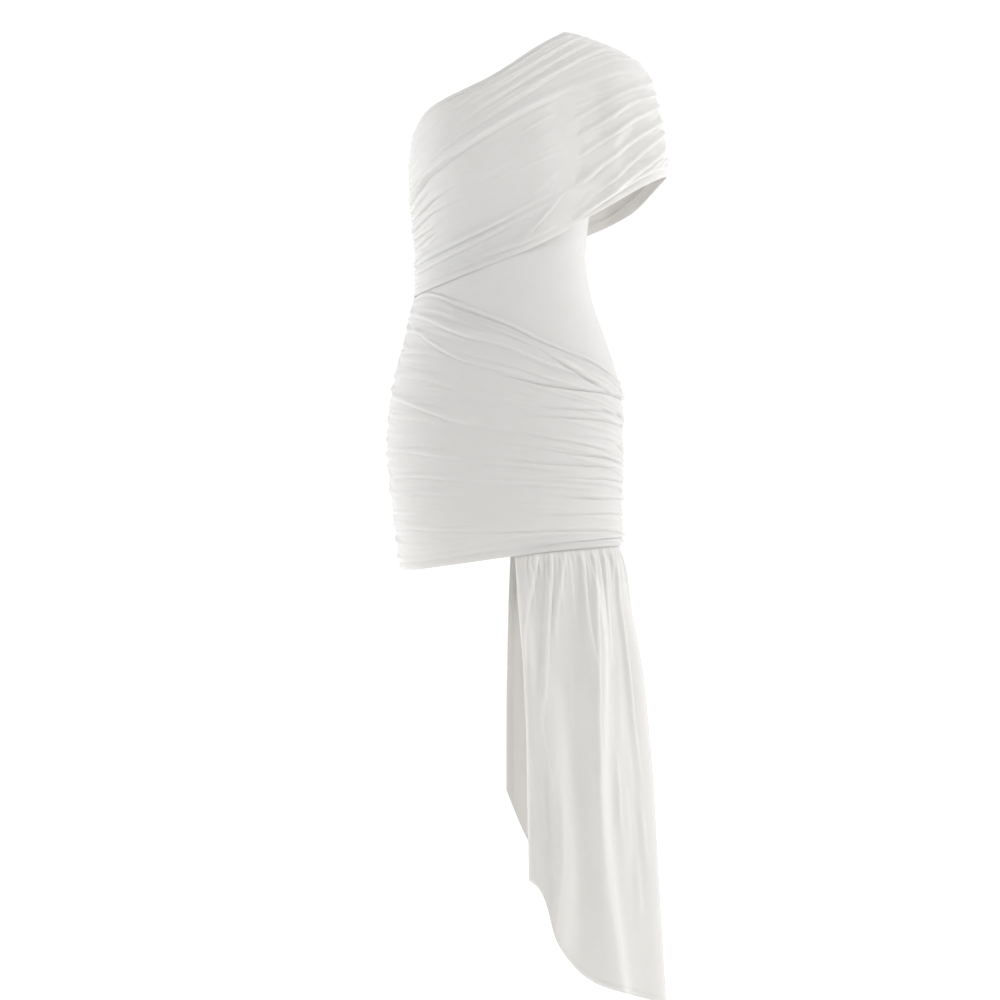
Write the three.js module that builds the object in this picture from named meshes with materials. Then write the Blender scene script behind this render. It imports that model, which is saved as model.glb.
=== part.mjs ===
// A one-shoulder mini dress in white stretch jersey, standing open in its worn form.
// A draped front and back cross the chest on the slant and fall over the left upper arm as a short
// cape sleeve. A plain waist, a ruched skirt and a gathered side tail hang below them.
// Millimetres, +Z up, the front faces -Y and the wearer's left arm is at +X.
// The origin is where the left shoulder holds the dress up.
import * as THREE from "three";

// Driving dimensions.
const clothThickness = 1.6;
const seamGap = 0.3;
const shoulderX = 133; // from the figure's centre line out to the shoulder support
const outerLift = 1.2; // middle of an outer panel's wall, outside the figure line
const underDrop = 3.2; // middle of an under panel's wall, inside the figure line
const tuckedDrop = 0.7; // the same where a side seam holds it against the outer panel
const tuckedWidth = 0.06; // share of the panel over which it leaves that seam
const figurePower = 2.2; // 2 is an ellipse, more is squarer
const white = 0xe6e4e0;

// The figure that the dress is cut for. drop is the distance below the shoulder support.
const figure = [
  { drop: -40, centre: -5, halfWidth: 128, front: 26, back: 34 },
  { drop: 0, centre: -5, halfWidth: 128, front: 43, back: 50 },
  { drop: 30, centre: -5, halfWidth: 128, front: 54, back: 64 },
  { drop: 80, centre: -5, halfWidth: 125, front: 76, back: 80 },
  { drop: 122, centre: -5, halfWidth: 123, front: 96, back: 88 },
  { drop: 171, centre: -5, halfWidth: 127.5, front: 110, back: 87 },
  { drop: 220, centre: -5, halfWidth: 125, front: 104, back: 80 },
  { drop: 269, centre: -5.5, halfWidth: 120, front: 92, back: 72 },
  { drop: 307, centre: -5, halfWidth: 118, front: 85, back: 68 },
  { drop: 360, centre: -2.5, halfWidth: 123.5, front: 84, back: 72 },
  { drop: 416, centre: 1.5, halfWidth: 139, front: 90, back: 86 },
  { drop: 472, centre: 2.5, halfWidth: 155, front: 97, back: 103 },
  { drop: 542, centre: 0, halfWidth: 161.5, front: 100, back: 116 },
  { drop: 612, centre: 1, halfWidth: 160.5, front: 98, back: 114 },
  { drop: 682, centre: 5.5, halfWidth: 156, front: 95, back: 104 },
  { drop: 745, centre: 10, halfWidth: 152.5, front: 92, back: 97 },
];

// The ruched seam from the neck point, over the shoulder and down the outside of the arm.
const armSeam = [
  { v: 0, x: 84, drop: -15 },
  { v: 0.16, x: 127.5, drop: -0.5 },
  { v: 0.28, x: 160, drop: 13.5 },
  { v: 0.38, x: 182.5, drop: 27.5 },
  { v: 0.44, x: 193.8, drop: 40 },
  { v: 0.5, x: 202, drop: 53.5 },
  { v: 0.6, x: 209, drop: 80.5 },
  { v: 0.7, x: 215.5, drop: 108.5 },
  { v: 0.8, x: 220.5, drop: 136.5 },
  { v: 0.9, x: 224.5, drop: 164 },
  { v: 1, x: 225.5, drop: 189 },
];
const neckLean = { x: 41, drop: -32 }; // the shoulder line carried on towards the neck
const shoulderRound = 60; // how far in from the arm seam the drape reaches its full depth
const armDepth = 53; // from the arm seam's plane to the front or the back of the arm
const armBlend = { from: 30, to: 200 }; // x over which the chest's depth gives way to the arm's

// The draped panels run from the right side seam to the arm seam. Each row of cloth lies above or
// below the straight line between them, by a share of its fall, at three places across the panel.
const drapeSide = { top: 122, bottom: 356 };
const bowPlaces = { near: 0.1, middle: 0.5, far: 0.86 };
const drapeRows = [
  { v: 0, near: 0.06, middle: -0.03, far: 0, farBack: 0 },
  { v: 0.2, near: 0.09, middle: 0.11, far: 0.09, farBack: 0.09 },
  { v: 0.42, near: 0.1, middle: 0.18, far: 0.15, farBack: 0.13 },
  { v: 0.65, near: 0.07, middle: 0.12, far: 0.1, farBack: 0.05 },
  { v: 0.85, near: 0, middle: 0, far: 0.04, farBack: -0.06 },
  { v: 1, near: -0.03, middle: -0.1, far: -0.02, farBack: -0.14 },
];

// Long folds: v where each starts on the right side seam and ends on the left one, the stretch of
// u where it stands, its height, and its half width as a share of the panel.
const drapeFolds = [
  { start: 0.09, end: 0.12, from: 0.15, to: 0.98, height: 3.5, width: 0.035 },
  { start: 0.17, end: 0.21, from: 0.2, to: 1.05, height: 4, width: 0.035 },
  { start: 0.25, end: 0.31, from: 0.45, to: 1.05, height: 3.5, width: 0.03 },
  { start: 0.4, end: 0.5, from: -0.1, to: 0.9, height: 5.5, width: 0.04 },
  { start: 0.52, end: 0.6, from: 0.5, to: 1.1, height: 4.5, width: 0.03 },
  { start: 0.8, end: 0.74, from: -0.1, to: 0.62, height: 4.5, width: 0.035 },
  { start: 0.88, end: 0.84, from: 0.05, to: 0.7, height: 4, width: 0.03 },
  { start: 0.93, end: 0.94, from: 0.35, to: 1.1, height: 4, width: 0.03 },
];
const skirtFolds = [
  { start: 0.07, end: 0.02, from: -0.1, to: 0.5, height: 3, width: 0.035 },
  { start: 0.14, end: 0.13, from: -0.1, to: 1.1, height: 3.5, width: 0.035 },
  { start: 0.27, end: 0.26, from: 0.2, to: 1.1, height: 3, width: 0.03 },
  { start: 0.36, end: 0.35, from: -0.1, to: 0.7, height: 3, width: 0.03 },
  { start: 0.5, end: 0.47, from: -0.1, to: 1.1, height: 3, width: 0.03 },
  { start: 0.62, end: 0.6, from: -0.1, to: 1.1, height: 3, width: 0.03 },
  { start: 0.76, end: 0.75, from: 0.3, to: 1.1, height: 3, width: 0.03 },
  { start: 0.88, end: 0.87, from: -0.1, to: 1.1, height: 3, width: 0.03 },
];

// Gathers held by each seam: how many, the stretch of the seam that they fill, how far they reach
// into the panel as a share of its width, and their height.
const drapeGathers = {
  right: { count: 11, from: 0.18, to: 1, reach: 0.26, height: 3.4 },
  left: { count: 13, from: 0.3, to: 1, reach: 0.36, height: 4.2 },
};
const skirtGathers = {
  right: { count: 13, from: 0, to: 1, reach: 0.24, height: 3.2 },
  left: { count: 11, from: 0, to: 1, reach: 0.28, height: 3.2 },
};

// The skirt's upper edge and hem, as drops along u. The upper edge meets the drape's lower edge
// at the right side seam and falls away on the slant.
const skirtEdges = [
  { u: 0, top: 357.8, hem: 737 },
  { u: 0.08, top: 357.6, hem: 737.5 },
  { u: 0.17, top: 353.5, hem: 736 },
  { u: 0.26, top: 358.5, hem: 732 },
  { u: 0.35, top: 372, hem: 727 },
  { u: 0.5, top: 396, hem: 717 },
  { u: 0.63, top: 424, hem: 709 },
  { u: 0.8, top: 450, hem: 704 },
  { u: 0.89, top: 464, hem: 703 },
  { u: 1, top: 480, hem: 703 },
];
// The waist is tucked under the drape above it and under the skirt below it.
const waistEdges = [
  { u: 0, top: 318, hem: 384 },
  { u: 0.5, top: 260, hem: 420 },
  { u: 1, top: 166, hem: 502 },
];

// The tail: half a ring of cloth from a free edge at centre front, round the left side, to a free
// edge at centre back. The edges and the side are x, the front and the back are depths.
const tailTuck = 12; // how far its top reaches up behind the skirt's hem
const tailRings = [
  { down: 0, frontEdge: 13, backEdge: 8, side: 157.8, front: 87.5, back: 92.5 },
  { down: 12, frontEdge: 13.5, backEdge: 8, side: 158.5, front: 88, back: 93 },
  { down: 36, frontEdge: 15, backEdge: 7, side: 165.4, front: 90.4, back: 95.4 },
  { down: 90, frontEdge: 19, backEdge: 6.5, side: 172.7, front: 93, back: 98 },
  { down: 150, frontEdge: 24, backEdge: 6, side: 180, front: 96, back: 101 },
  { down: 250, frontEdge: 29, backEdge: 6.5, side: 189, front: 99, back: 104 },
  { down: 460, frontEdge: 32, backEdge: 8, side: 206.5, front: 102, back: 107 },
  { down: 660, frontEdge: 34, backEdge: 10, side: 218, front: 103, back: 108 },
];
const tailCrowding = 0.15; // evens out the columns round the ring
const tailHem = [
  { w: 0, length: 439 },
  { w: 0.047, length: 466 },
  { w: 0.09, length: 508 },
  { w: 0.134, length: 554 },
  { w: 0.197, length: 586 },
  { w: 0.281, length: 606 },
  { w: 0.391, length: 626 },
  { w: 0.5, length: 640 },
  { w: 0.64, length: 605 },
  { w: 0.74, length: 562 },
  { w: 0.84, length: 507 },
  { w: 0.94, length: 408 },
  { w: 1, length: 341 },
];
const tailGathers = { count: 23, reach: 0.3, height: 3 };
// Long folds: w where each leaves the skirt and reaches the hem.
const tailFolds = [
  { top: 0.09, bottom: 0.015, height: 9, width: 0.032 },
  { top: 0.156, bottom: 0.07, height: 12, width: 0.038 },
  { top: 0.25, bottom: 0.235, height: 18, width: 0.055 },
  { top: 0.34, bottom: 0.315, height: 9, width: 0.03 },
  { top: 0.42, bottom: 0.41, height: 13, width: 0.042 },
  { top: 0.5, bottom: 0.5, height: 14, width: 0.045 },
  { top: 0.6, bottom: 0.62, height: 16, width: 0.05 },
  { top: 0.72, bottom: 0.74, height: 14, width: 0.045 },
  { top: 0.84, bottom: 0.86, height: 15, width: 0.048 },
  { top: 0.93, bottom: 0.97, height: 10, width: 0.034 },
];

// Columns and rows of the grid that each piece is worked out on.
const grids = {
  drape: { columns: 14, rows: 48 },
  waist: { columns: 14, rows: 6 },
  skirt: { columns: 14, rows: 44 },
  tail: { columns: 88, rows: 9 },
};

const { clamp, lerp, smoothstep } = THREE.MathUtils;
const front = -1;
const back = 1;

// Reads every column of a table at one value of its key, on a smooth curve through the rows.
function read(table, key, at) {
  const last = table.length - 1;
  let i = 0;
  while (i < last - 1 && table[i + 1][key] < at) i += 1;
  const [a, b] = [table[i], table[i + 1]];
  const before = table[Math.max(i - 1, 0)];
  const after = table[Math.min(i + 2, last)];
  const span = b[key] - a[key];
  const t = clamp((at - a[key]) / span, 0, 1);
  const out = {};
  for (const column of Object.keys(a)) {
    const startSlope = (span * (b[column] - before[column])) / (b[key] - before[key]);
    const endSlope = (span * (after[column] - a[column])) / (after[key] - a[key]);
    out[column] =
      a[column] * (1 + 2 * t) * (1 - t) ** 2 +
      startSlope * t * (1 - t) ** 2 +
      b[column] * t ** 2 * (3 - 2 * t) +
      endSlope * t ** 2 * (t - 1);
  }
  return out;
}

// A quarter of a round outline: 0 at the edge, 1 at full depth.
function quarter(share, power) {
  const left = 1 - clamp(share, 0, 1);
  return (1 - left ** power) ** (1 / power);
}

// How far across a panel its column u lies. Columns crowd towards the seams, where it turns round.
function across(u) {
  return (1 - Math.cos(Math.PI * u)) / 2;
}

// A soft ridge: 1 on its line, 0 beyond its half width. ridgeMean is its area over its half width.
const ridgeMean = 16 / 15;
function ridge(distance, width) {
  const share = Math.min(Math.abs(distance) / width, 1);
  return (1 - share * share) ** 2;
}

// The long folds' height at one place of a panel. Each rises and dies away softly along its line.
const foldEnds = { rise: 0.15, fall: 0.2 };
function foldHeight(folds, u, v) {
  let height = 0;
  for (const fold of folds) {
    const line = lerp(fold.start, fold.end, u);
    const risen = smoothstep(u, fold.from, fold.from + foldEnds.rise);
    const fallen = smoothstep(u, fold.to - foldEnds.fall, fold.to);
    height += fold.height * ridge(v - line, fold.width) * risen * (1 - fallen);
  }
  return height;
}

// A row of equal waves between 0 and 1, drawn uneven by two slower waves.
const unevenness = { slow: 9, slowBy: 0.018, quick: 23, quickBy: 0.011 };
function wave(count, share) {
  const slow = unevenness.slowBy * Math.sin(unevenness.slow * share + count);
  const quick = unevenness.quickBy * Math.sin(unevenness.quick * share);
  return 0.5 - 0.5 * Math.cos(2 * Math.PI * count * (share + slow + quick));
}

// Gathers that stand out from one seam and die away into the panel. inward is 0 on the seam.
const gatherShape = { full: 0.02, ends: 0.06, shortest: 0.5, lengths: 7.3 * Math.PI };
function gatherHeight(gathers, inward, v) {
  const share = (v - gathers.from) / (gathers.to - gathers.from);
  if (share < 0 || share > 1) return 0;
  const { full, ends, shortest, lengths } = gatherShape;
  const reach = gathers.reach * lerp(shortest, 1, 0.5 + 0.5 * Math.sin(lengths * share + gathers.count));
  const atEnds = smoothstep(share, 0, ends) * (1 - smoothstep(share, 1 - ends, 1));
  return gathers.height * wave(gathers.count, share) * atEnds * (1 - smoothstep(inward, full, reach));
}

// Distance from the arm seam's line, in the plane seen from the front.
const seamSteps = 48;
const seamLine = [new THREE.Vector2(neckLean.x, neckLean.drop)];
for (let i = 0; i <= seamSteps; i += 1) {
  const { x, drop } = read(armSeam, "v", i / seamSteps);
  seamLine.push(new THREE.Vector2(x, drop));
}
function seamDistance(x, drop) {
  const place = new THREE.Vector2(x, drop);
  let nearest = Infinity;
  for (let i = 1; i < seamLine.length; i += 1) {
    const a = seamLine[i - 1];
    const step = seamLine[i].clone().sub(a);
    const t = clamp(place.clone().sub(a).dot(step) / step.lengthSq(), 0, 1);
    nearest = Math.min(nearest, a.clone().addScaledVector(step, t).distanceTo(place));
  }
  return nearest;
}

// A point on the figure itself: u goes from the right side seam to the left one.
function figurePoint(side, u, drop) {
  const ring = read(figure, "drop", drop);
  const depth = side === front ? ring.front : ring.back;
  const x = ring.centre - ring.halfWidth * Math.cos(Math.PI * u);
  const round = Math.sin(Math.PI * clamp(u, 0, 1)) ** (2 / figurePower);
  return new THREE.Vector3(x, side * depth * round, -drop);
}

// How far a drape's row lies above the straight line between its ends, as a share of its fall.
function rowBow(side, share, v) {
  const row = read(drapeRows, "v", v);
  const line = [
    { share: 0, bow: 0 },
    { share: bowPlaces.near, bow: row.near },
    { share: bowPlaces.middle, bow: row.middle },
    { share: bowPlaces.far, bow: side === front ? row.far : row.farBack },
    { share: 1, bow: 0 },
  ];
  return read(line, "share", share).bow;
}

// A point of a drape before its folds: on the chest, then bridging from the chest to the arm.
function drapePoint(side, u, v) {
  const startDrop = lerp(drapeSide.top, drapeSide.bottom, v);
  const start = read(figure, "drop", startDrop);
  const end = read(armSeam, "v", v);
  const share = across(u);
  const x = lerp(start.centre - start.halfWidth, end.x, share);
  const drop = lerp(startDrop, end.drop, share + rowBow(side, share, v));
  const ring = read(figure, "drop", drop);
  const chest = side === front ? ring.front : ring.back;
  const overArm = smoothstep(x, armBlend.from, armBlend.to);
  const sideRound = quarter((x - ring.centre + ring.halfWidth) / ring.halfWidth, figurePower);
  const armRound = quarter(seamDistance(x, drop) / shoulderRound, 2);
  return new THREE.Vector3(x, side * lerp(chest, armDepth, overArm) * sideRound * armRound, -drop);
}

// A row of a skirt or waist panel lies between its upper edge and its hem.
function wrapPoint(side, edges, u, v) {
  const { top, hem } = read(edges, "u", u);
  return figurePoint(side, u, lerp(top, hem, v));
}

// The skirt's hem at one x of the front, which the tail hangs from.
function hemDropAt(x) {
  const { centre, halfWidth } = figure.at(-1);
  const u = Math.acos(clamp((centre - x) / halfWidth, -1, 1)) / Math.PI;
  return read(skirtEdges, "u", u).hem;
}

// A point of the tail before its folds: w runs from centre front, round the left, to centre back.
function tailPoint(w, t) {
  const angle = Math.PI * w - tailCrowding * Math.sin(2 * Math.PI * w);
  const { length } = read(tailHem, "w", w);
  const down = t * (length + tailTuck);
  const inFront = w < 0.5;
  const xOf = (ring) => lerp(inFront ? ring.frontEdge : ring.backEdge, ring.side, Math.sin(angle));
  const ring = read(tailRings, "down", down);
  const y = -(inFront ? ring.front : ring.back) * Math.cos(angle);
  return new THREE.Vector3(xOf(ring), y, tailTuck - hemDropAt(xOf(tailRings[0])) - down);
}

// The outward direction at one place of a surface, from its two tangents.
function outward(surface, a, b, sign) {
  const step = 1e-3;
  const alongA = surface(Math.min(a + step, 1), b).sub(surface(Math.max(a - step, 0), b));
  const alongB = surface(a, Math.min(b + step, 1)).sub(surface(a, Math.max(b - step, 0)));
  return alongA.cross(alongB).multiplyScalar(sign).normalize();
}

// The surface moved out by a lift that changes over it.
function lifted(surface, sign, lift) {
  return (a, b) => surface(a, b).addScaledVector(outward(surface, a, b, sign), lift(a, b));
}

// A closed wall of cloth with the surface in its middle. keep moves a point back to its own side
// of a seam.
function wall(surface, sign, { columns, rows }, keep) {
  const positions = [];
  for (const layer of [0.5, -0.5]) {
    for (let j = 0; j <= rows; j += 1) {
      for (let i = 0; i <= columns; i += 1) {
        const [a, b] = [i / columns, j / rows];
        const point = surface(a, b).addScaledVector(outward(surface, a, b, sign), layer * clothThickness);
        positions.push(...keep(point).toArray());
      }
    }
  }
  const width = columns + 1;
  const inner = width * (rows + 1);
  const triangles = [];
  const quad = (a, b, c, d) => triangles.push(a, b, c, a, c, d);
  for (let j = 0; j < rows; j += 1) {
    for (let i = 0; i < columns; i += 1) {
      const at = j * width + i;
      quad(at, at + width, at + width + 1, at + 1);
      quad(inner + at, inner + at + 1, inner + at + width + 1, inner + at + width);
    }
  }
  for (let i = 0; i < columns; i += 1) {
    const foot = rows * width + i;
    quad(i, i + 1, inner + i + 1, inner + i);
    quad(foot + 1, foot, inner + foot, inner + foot + 1);
  }
  for (let j = 0; j < rows; j += 1) {
    const near = j * width;
    const far = near + columns;
    quad(near + width, near, inner + near, inner + near + width);
    quad(far, far + width, inner + far + width, inner + far);
  }
  if (sign === back) triangles.reverse();
  const geometry = new THREE.BufferGeometry();
  geometry.setAttribute("position", new THREE.Float32BufferAttribute(positions, 3));
  geometry.setIndex(triangles);
  return geometry;
}

// Keeps a half of the dress on its own side of the plane through the side seams.
function ownSide(side) {
  return (point) => {
    point.y = side * Math.max(side * point.y, seamGap / 2);
    return point;
  };
}

// A drape or skirt panel: its surface with its folds and the gathers of both its seams.
function ruched(side, surface, folds, gathers, grid) {
  const lift = (u, v) =>
    outerLift +
    foldHeight(folds, u, v) +
    gatherHeight(gathers.right, u, v) +
    gatherHeight(gathers.left, 1 - u, v);
  return wall(lifted(surface, side, lift), side, grid, ownSide(side));
}

function drape(side) {
  return ruched(side, (u, v) => drapePoint(side, u, v), drapeFolds, drapeGathers, grids.drape);
}

function skirt(side) {
  return ruched(side, (u, v) => wrapPoint(side, skirtEdges, u, v), skirtFolds, skirtGathers, grids.skirt);
}

function waist(side) {
  const fromSeam = (u) => smoothstep(Math.min(u, 1 - u), 0, tuckedWidth);
  const lift = (u) => -lerp(tuckedDrop, underDrop, fromSeam(u));
  return wall(lifted((u, v) => wrapPoint(side, waistEdges, u, v), side, lift), side, grids.waist, ownSide(side));
}

// The tail's gathers are fullest just under the hem, and its long folds grow towards the floor.
const tailGrowth = { from: 0.03, to: 0.75 };
const tailRelease = { from: 0.02, to: 0.05 };
const tailRowSpread = 1.5; // rows crowd towards the top
function tail() {
  const mean = tailFolds.reduce((sum, fold) => sum + fold.height * fold.width * ridgeMean, 0);
  const lift = (w, t) => {
    const freed = smoothstep(t, tailRelease.from, tailRelease.to);
    const smoothed = smoothstep(t, tailRelease.to, tailGathers.reach);
    const fine = tailGathers.height * (wave(tailGathers.count, w) - 0.5) * freed * (1 - smoothed);
    let long = -mean;
    for (const fold of tailFolds) {
      long += fold.height * ridge(w - lerp(fold.top, fold.bottom, t), fold.width);
    }
    return fine + long * smoothstep(t, tailGrowth.from, tailGrowth.to);
  };
  const surface = lifted(tailPoint, front, lift);
  return wall((w, b) => surface(w, b ** tailRowSpread), front, grids.tail, (point) => point);
}

const dress = new THREE.Group();
function add(name, geometry) {
  const jersey = new THREE.MeshStandardMaterial({ color: white, roughness: 0.85, metalness: 0 });
  const piece = new THREE.Mesh(geometry, jersey);
  piece.name = name;
  dress.add(piece);
}
add("drape_front", drape(front));
add("drape_back", drape(back));
add("waist_front", waist(front));
add("waist_back", waist(back));
add("skirt_front", skirt(front));
add("skirt_back", skirt(back));
add("side_tail", tail());
dress.position.x = -shoulderX;

export default dress;
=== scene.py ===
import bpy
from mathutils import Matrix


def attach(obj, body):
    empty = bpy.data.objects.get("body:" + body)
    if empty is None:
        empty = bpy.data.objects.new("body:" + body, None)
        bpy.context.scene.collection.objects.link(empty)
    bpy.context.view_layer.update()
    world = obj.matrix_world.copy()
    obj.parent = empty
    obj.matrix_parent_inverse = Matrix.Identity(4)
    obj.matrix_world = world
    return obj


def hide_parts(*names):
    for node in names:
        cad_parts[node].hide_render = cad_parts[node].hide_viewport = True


bl_info = {
    "name": "One-shoulder jersey dress",
    "version": (1, 0, 0),
    "blender": (4, 5, 0),
    "location": "View3D > Sidebar > Dress",
    "description": "Makes a draped one-shoulder dress in white stretch jersey and a studio to see it in",
    "category": "Add Mesh",
}

from collections import namedtuple

import bpy
import numpy as np
from mathutils import Vector

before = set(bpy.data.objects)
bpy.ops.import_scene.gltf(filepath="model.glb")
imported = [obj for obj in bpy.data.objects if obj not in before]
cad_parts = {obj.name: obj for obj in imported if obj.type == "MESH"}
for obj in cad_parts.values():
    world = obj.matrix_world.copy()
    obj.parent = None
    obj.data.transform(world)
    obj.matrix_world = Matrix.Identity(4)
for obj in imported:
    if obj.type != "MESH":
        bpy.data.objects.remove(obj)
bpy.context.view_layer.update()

# Sizes are millimetres in the figure's own frame: x from its centre line, drop below the shoulder
# support, y from the plane of the side seams. The front faces -y. The pieces are made in metres,
# moved so that the shoulder support is the origin.
MM = 0.001
SHOULDER_X = 133
FRONT = -1
BACK = 1
SIDES = ((FRONT, "front"), (BACK, "back"))
OUTER_LIFT = 1.2  # middle of an outer panel's wall, outside the figure line
UNDER_DROP = 0.7  # middle of an under panel's wall, inside the figure line
TUCKED_DROP = 0.2  # the same where a side seam holds it against the outer panel
TUCKED_WIDTH = 0.06

# Columns and rows of the grids that the pieces are worked out on.
DRAPE_GRID = (210, 204)
WAIST_GRID = (90, 70)
SKIRT_GRID = (180, 200)
TAIL_GRID = (340, 136)
TAIL_ROW_SPREAD = 1.3  # rows crowd towards the top
TAIL_GATHERS = 58
TAIL_LOW_FOLDS = 36

# The studio, in metres: the camera looks level at the middle of the view.
CAMERA_X, CAMERA_Z, VIEW_WIDTH = -0.14, -0.64, 1.4
SENSOR = 36  # mm
FLOOR_Z, FLOOR_RADIUS, WALL_CURVE, WALL_HEIGHT = -1.42, 5, 4, 9
FILL_SHARE = 0.36  # the fill light beside the arm, against the key light
RIGHT_RIM_SHARE = 0.4  # the right rim light, against the left one

Ring = namedtuple("Ring", "drop centre half_width front back")
FIGURE = [
    Ring(-40, -5, 128, 26, 34),
    Ring(0, -5, 128, 43, 50),
    Ring(30, -5, 128, 54, 64),
    Ring(80, -5, 125, 76, 80),
    Ring(122, -5, 123, 96, 88),
    Ring(171, -5, 127.5, 110, 87),
    Ring(220, -5, 125, 104, 80),
    Ring(269, -5.5, 120, 92, 72),
    Ring(307, -5, 118, 85, 68),
    Ring(360, -2.5, 123.5, 84, 72),
    Ring(416, 1.5, 139, 90, 86),
    Ring(472, 2.5, 155, 97, 103),
    Ring(542, 0, 161.5, 100, 116),
    Ring(612, 1, 160.5, 98, 114),
    Ring(682, 5.5, 156, 95, 104),
    Ring(745, 10, 152.5, 92, 97),
]
FIGURE_POWER = 2.2  # 2 is an ellipse, more is squarer

SeamPoint = namedtuple("SeamPoint", "v x drop")
ARM_SEAM = [
    SeamPoint(0, 84, -15),
    SeamPoint(0.16, 127.5, -0.5),
    SeamPoint(0.28, 160, 13.5),
    SeamPoint(0.38, 182.5, 27.5),
    SeamPoint(0.44, 193.8, 40),
    SeamPoint(0.5, 202, 53.5),
    SeamPoint(0.6, 209, 80.5),
    SeamPoint(0.7, 215.5, 108.5),
    SeamPoint(0.8, 220.5, 136.5),
    SeamPoint(0.9, 224.5, 164),
    SeamPoint(1, 225.5, 189),
]
NECK_LEAN = (41, -32)  # x and drop of the shoulder line carried on towards the neck
SHOULDER_ROUND = 60  # how far in from the arm seam the drape reaches its full depth
ARM_DEPTH = 53  # from the arm seam's plane to the front or the back of the arm
ARM_BLEND = (30, 200)  # x over which the chest's depth gives way to the arm's

# The draped panels run from the right side seam to the arm seam. Each row of cloth lies above the
# straight line between its ends by a share of its fall, at three places across the panel.
DRAPE_SIDE = (122, 357)
BOW_PLACES = (0.1, 0.5, 0.86)
DrapeRow = namedtuple("DrapeRow", "v near middle far far_back")
DRAPE_ROWS = [
    DrapeRow(0, 0.06, -0.03, 0, 0),
    DrapeRow(0.2, 0.09, 0.11, 0.09, 0.09),
    DrapeRow(0.42, 0.1, 0.18, 0.15, 0.13),
    DrapeRow(0.65, 0.07, 0.12, 0.1, 0.05),
    DrapeRow(0.85, 0, 0, 0.04, -0.06),
    DrapeRow(1, -0.03, -0.1, -0.02, -0.14),
]

Edge = namedtuple("Edge", "u top hem")
SKIRT_EDGES = [
    Edge(0, 357.8, 737),
    Edge(0.08, 357.6, 737.5),
    Edge(0.17, 353.5, 736),
    Edge(0.26, 358.5, 732),
    Edge(0.35, 372, 727),
    Edge(0.5, 396, 717),
    Edge(0.63, 424, 709),
    Edge(0.8, 450, 704),
    Edge(0.89, 464, 703),
    Edge(1, 480, 703),
]
WAIST_EDGES = [
    Edge(0, 318, 384),
    Edge(0.5, 260, 420),
    Edge(1, 166, 502),
]

# The tail is half a ring of cloth from a free edge at centre front, round the left side, to a free
# edge at centre back.
TAIL_TUCK = 12
TailRing = namedtuple("TailRing", "down front_edge back_edge side front back")
TAIL_RINGS = [
    TailRing(0, 13, 8, 158, 89, 94),
    TailRing(12, 13.5, 8, 158.9, 89.8, 94.8),
    TailRing(36, 15, 7, 165.6, 91.2, 96.2),
    TailRing(90, 19, 5, 172.7, 93, 98),
    TailRing(150, 24, 3.5, 180, 96, 101),
    TailRing(250, 29, 2, 189, 99, 104),
    TailRing(460, 32, 3, 206.5, 102, 107),
    TailRing(660, 34, 10, 218, 103, 108),
]
TAIL_CROWDING = 0.15
HemPoint = namedtuple("HemPoint", "w length")
TAIL_HEM = [
    HemPoint(0, 439),
    HemPoint(0.035, 452),
    HemPoint(0.06, 476),
    HemPoint(0.085, 520),
    HemPoint(0.134, 556),
    HemPoint(0.197, 586),
    HemPoint(0.281, 606),
    HemPoint(0.391, 626),
    HemPoint(0.5, 640),
    HemPoint(0.64, 605),
    HemPoint(0.74, 562),
    HemPoint(0.84, 507),
    HemPoint(0.94, 408),
    HemPoint(1, 341),
]

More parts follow.
